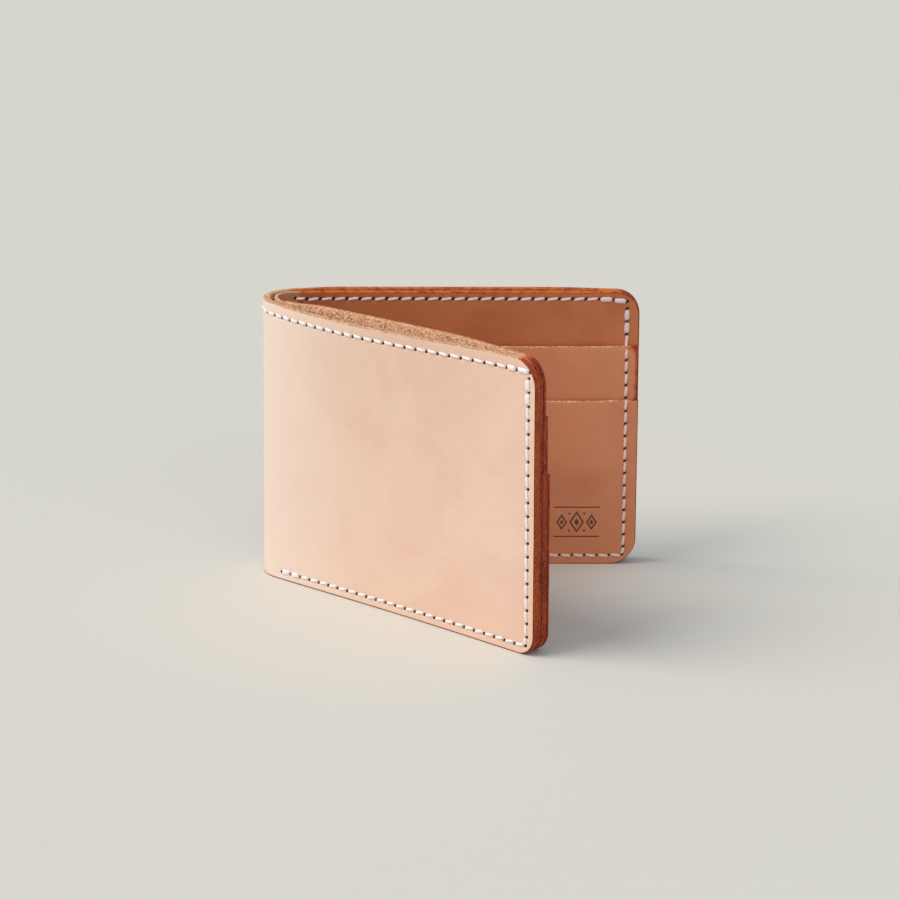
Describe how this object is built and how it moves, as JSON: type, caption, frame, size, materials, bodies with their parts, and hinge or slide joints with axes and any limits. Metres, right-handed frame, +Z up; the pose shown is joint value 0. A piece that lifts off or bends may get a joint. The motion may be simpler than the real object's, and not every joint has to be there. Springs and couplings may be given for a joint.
{
  "type": "bifold wallet",
  "caption": "Folding leather wallet that stands partly open on its long edge: one outer cover with a full-height bill compartment and stacked card pockets in both halves.",
  "frame": {"origin": "middle of the footprint's bounding box, on the surface the wallet stands on", "axes": "+X along the back half from the fold to its free edge; -Y is the side its card pockets face; +Z up, along the fold"},
  "size_m": [0.1104, 0.0876, 0.0824],
  "materials": {
    "cover_leather": "natural vegetable-tanned grain, undyed, satin, with burnished red-brown cut edges",
    "liner_leather": "thin vegetable-tanned leather, grain inwards, fibrous raw back",
    "pocket_leather": "thin vegetable-tanned grain, satin, with creased mouths and burnished edges",
    "thread": "waxed off-white twisted thread"
  },
  "bodies": {
    "back_half": {"cover_back": "cover_leather", "liner_back": "liner_leather", "card_panel_back": "pocket_leather", "upper_pocket_back": "pocket_leather", "lower_pocket_back": "pocket_leather", "top_seam_back_outside": "thread", "top_seam_back_inside": "thread", "panel_seam_back_face": "thread", "panel_seam_back_reverse": "thread", "edge_seam_back_outside": "thread", "edge_seam_back_inside": "thread", "stop_seam_back": "thread", "pocket_seam_back": "thread"},
    "spine_back": {"cover_spine_back": "cover_leather", "liner_spine_back": "liner_leather", "top_seam_spine_back_outside": "thread", "top_seam_spine_back_inside": "thread"},
    "spine_front": {"cover_spine_front": "cover_leather", "liner_spine_front": "liner_leather", "top_seam_spine_front_outside": "thread", "top_seam_spine_front_inside": "thread"},
    "front_half": {"cover_front": "cover_leather", "liner_front": "liner_leather", "card_panel_front": "pocket_leather", "upper_pocket_front": "pocket_leather", "lower_pocket_front": "pocket_leather", "top_seam_front_outside": "thread", "top_seam_front_inside": "thread", "panel_seam_front_face": "thread", "panel_seam_front_reverse": "thread", "edge_seam_front_outside": "thread", "edge_seam_front_inside": "thread", "stop_seam_front": "thread", "pocket_seam_front": "thread"}
  },
  "joints": [
    {"name": "crease_back", "type": "hinge", "parent": "back_half", "child": "spine_back", "pos_m": [-0.04804, 0.04008, 0], "axis": [0, 0, -1], "range_deg": [-13, 46.1]},
    {"name": "crease_middle", "type": "hinge", "parent": "spine_back", "child": "spine_front", "pos_m": [-0.05394, 0.03393, 0], "axis": [0, 0, -1], "range_deg": [-13.1, 46.2]},
    {"name": "crease_front", "type": "hinge", "parent": "spine_front", "child": "front_half", "pos_m": [-0.0536, 0.02542, 0], "axis": [0, 0, -1], "range_deg": [-13.1, 46.2]}
  ],
  "couplings": [
    {"joint": "crease_middle", "follows": "crease_back", "ratio": 1},
    {"joint": "crease_front", "follows": "crease_back", "ratio": 1}
  ]
}
